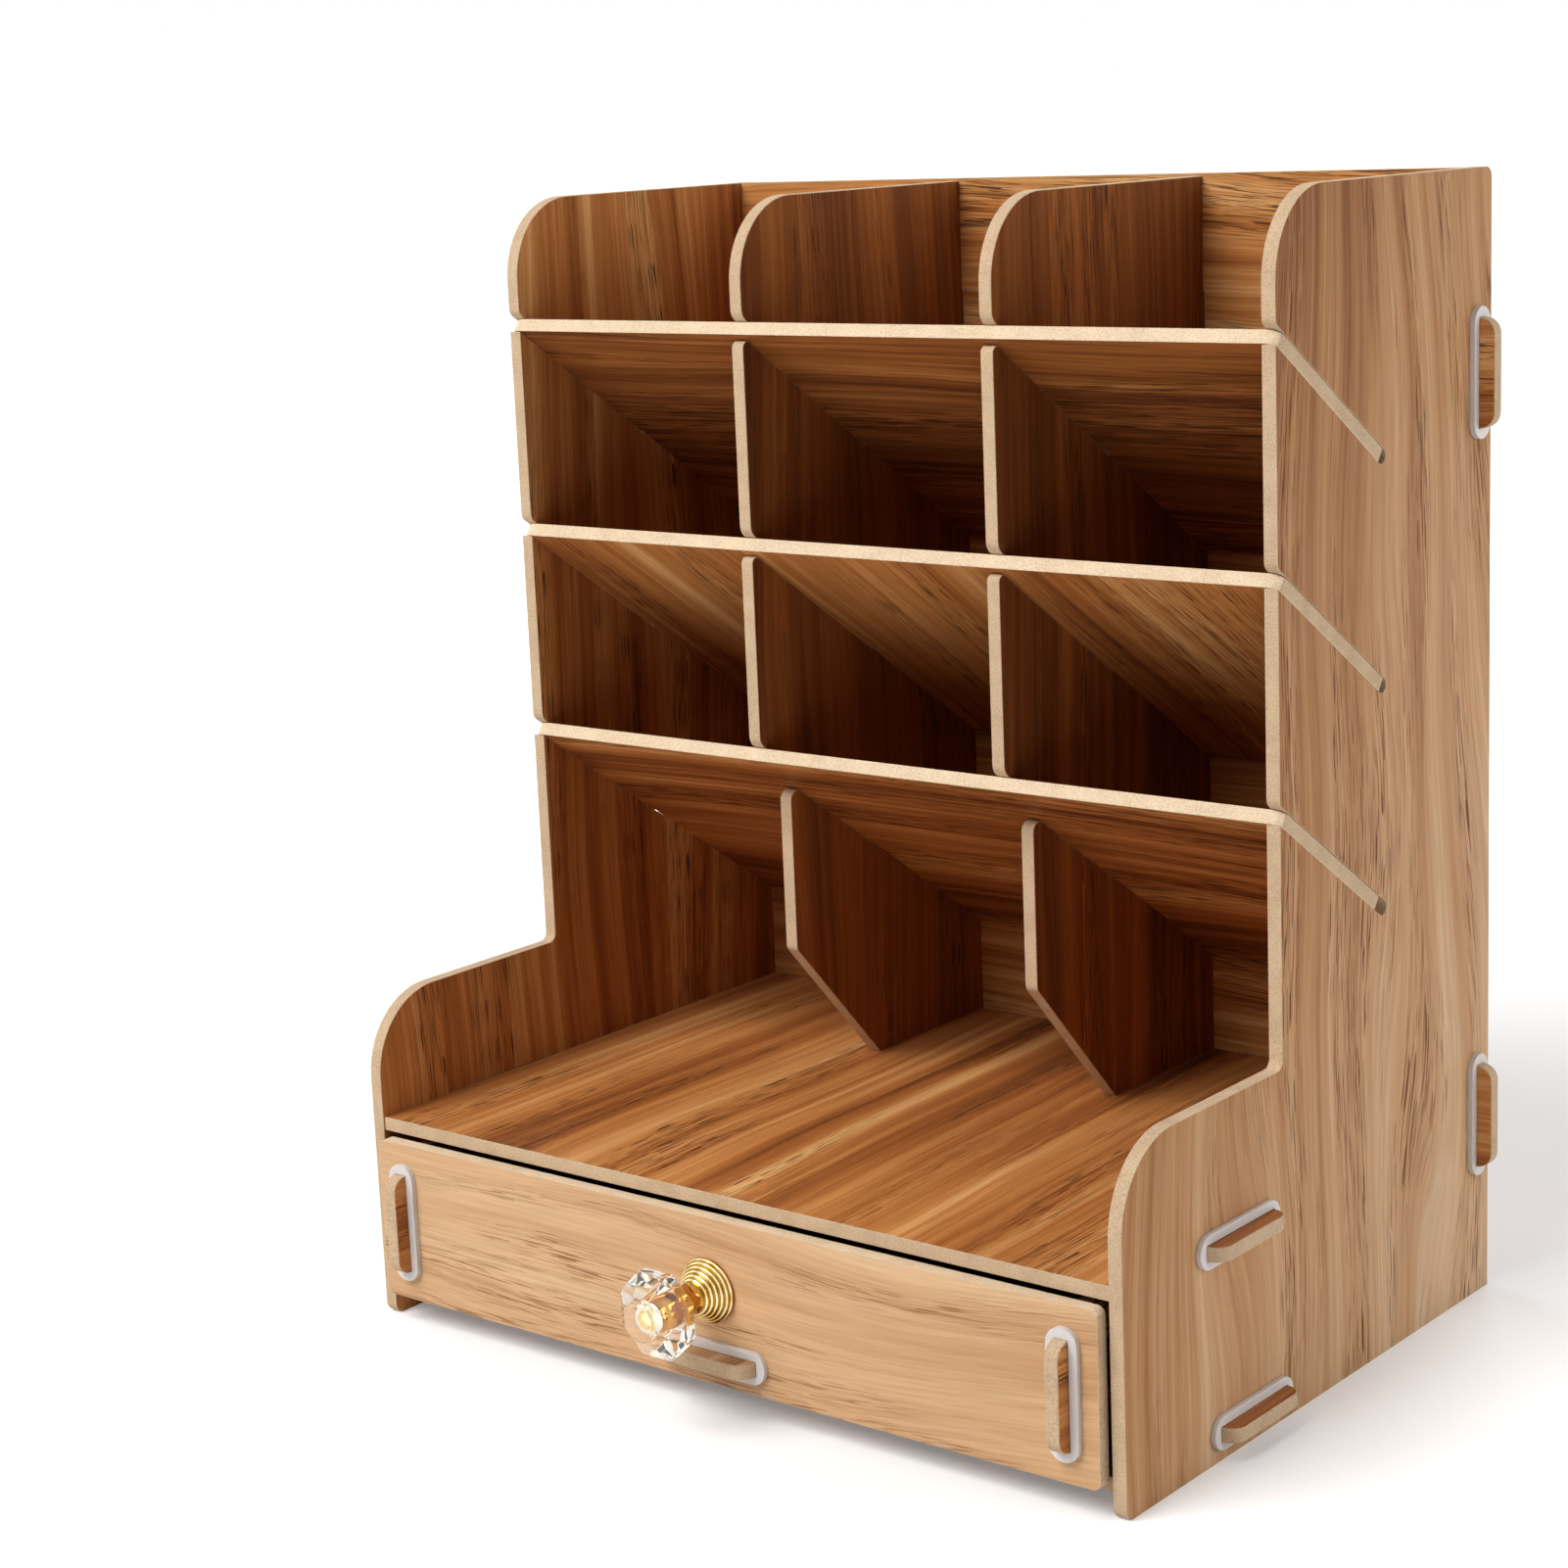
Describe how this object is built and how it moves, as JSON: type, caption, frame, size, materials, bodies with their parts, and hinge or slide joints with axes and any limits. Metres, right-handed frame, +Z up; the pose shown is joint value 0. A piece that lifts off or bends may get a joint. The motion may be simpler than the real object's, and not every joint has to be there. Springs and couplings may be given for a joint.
{
  "type": "desktop pen organiser with drawer",
  "caption": "Slotted-board desktop organiser with slanted pen compartments above an open deck and a pull-out drawer with a crystal knob.",
  "frame": {"origin": "middle of the overall width and depth, on the surface that the organiser stands on", "axes": "+Z up, -Y towards the drawer's front, +X to the right as seen from the front"},
  "size_m": [0.2716, 0.2241, 0.32],
  "materials": {
    "laminate_board": "satin printed wood grain, bare pale fibreboard edges",
    "lock_ring": "translucent white",
    "knob_gold": "polished",
    "knob_crystal": "clear, faceted",
    "screw_steel": "plain"
  },
  "bodies": {
    "carcass": {"side_panel_left": "laminate_board", "side_panel_right": "laminate_board", "back_panel": "laminate_board", "divider_left": "laminate_board", "divider_right": "laminate_board", "shelf_lower": "laminate_board", "shelf_middle": "laminate_board", "shelf_upper": "laminate_board", "deck_panel": "laminate_board", "bottom_panel": "laminate_board", "ring_left_upper": "lock_ring", "ring_left_lower": "lock_ring", "ring_left_deck": "lock_ring", "ring_left_bottom": "lock_ring", "ring_right_upper": "lock_ring", "ring_right_lower": "lock_ring", "ring_right_deck": "lock_ring", "ring_right_bottom": "lock_ring", "ring_back_upper_left": "lock_ring", "ring_back_upper_right": "lock_ring", "ring_back_lower_left": "lock_ring", "ring_back_lower_right": "lock_ring", "ring_back_deck_left": "lock_ring", "ring_back_deck_right": "lock_ring", "ring_back_bottom_left": "lock_ring", "ring_back_bottom_right": "lock_ring"},
    "drawer": {"drawer_front": "laminate_board", "drawer_back": "laminate_board", "drawer_side_left": "laminate_board", "drawer_side_right": "laminate_board", "drawer_floor": "laminate_board", "ring_drawer_left": "lock_ring", "ring_drawer_right": "lock_ring", "ring_drawer_floor": "lock_ring", "ring_drawer_rear_left": "lock_ring", "ring_drawer_rear_right": "lock_ring", "ring_drawer_rear_floor": "lock_ring", "knob_base": "knob_gold", "knob_crystal": "knob_crystal", "knob_screw": "screw_steel"}
  },
  "joints": [
    {"name": "drawer_slide", "type": "slide", "parent": "carcass", "child": "drawer", "axis": [0, -1, 0], "range_m": [0, 0.12]}
  ]
}
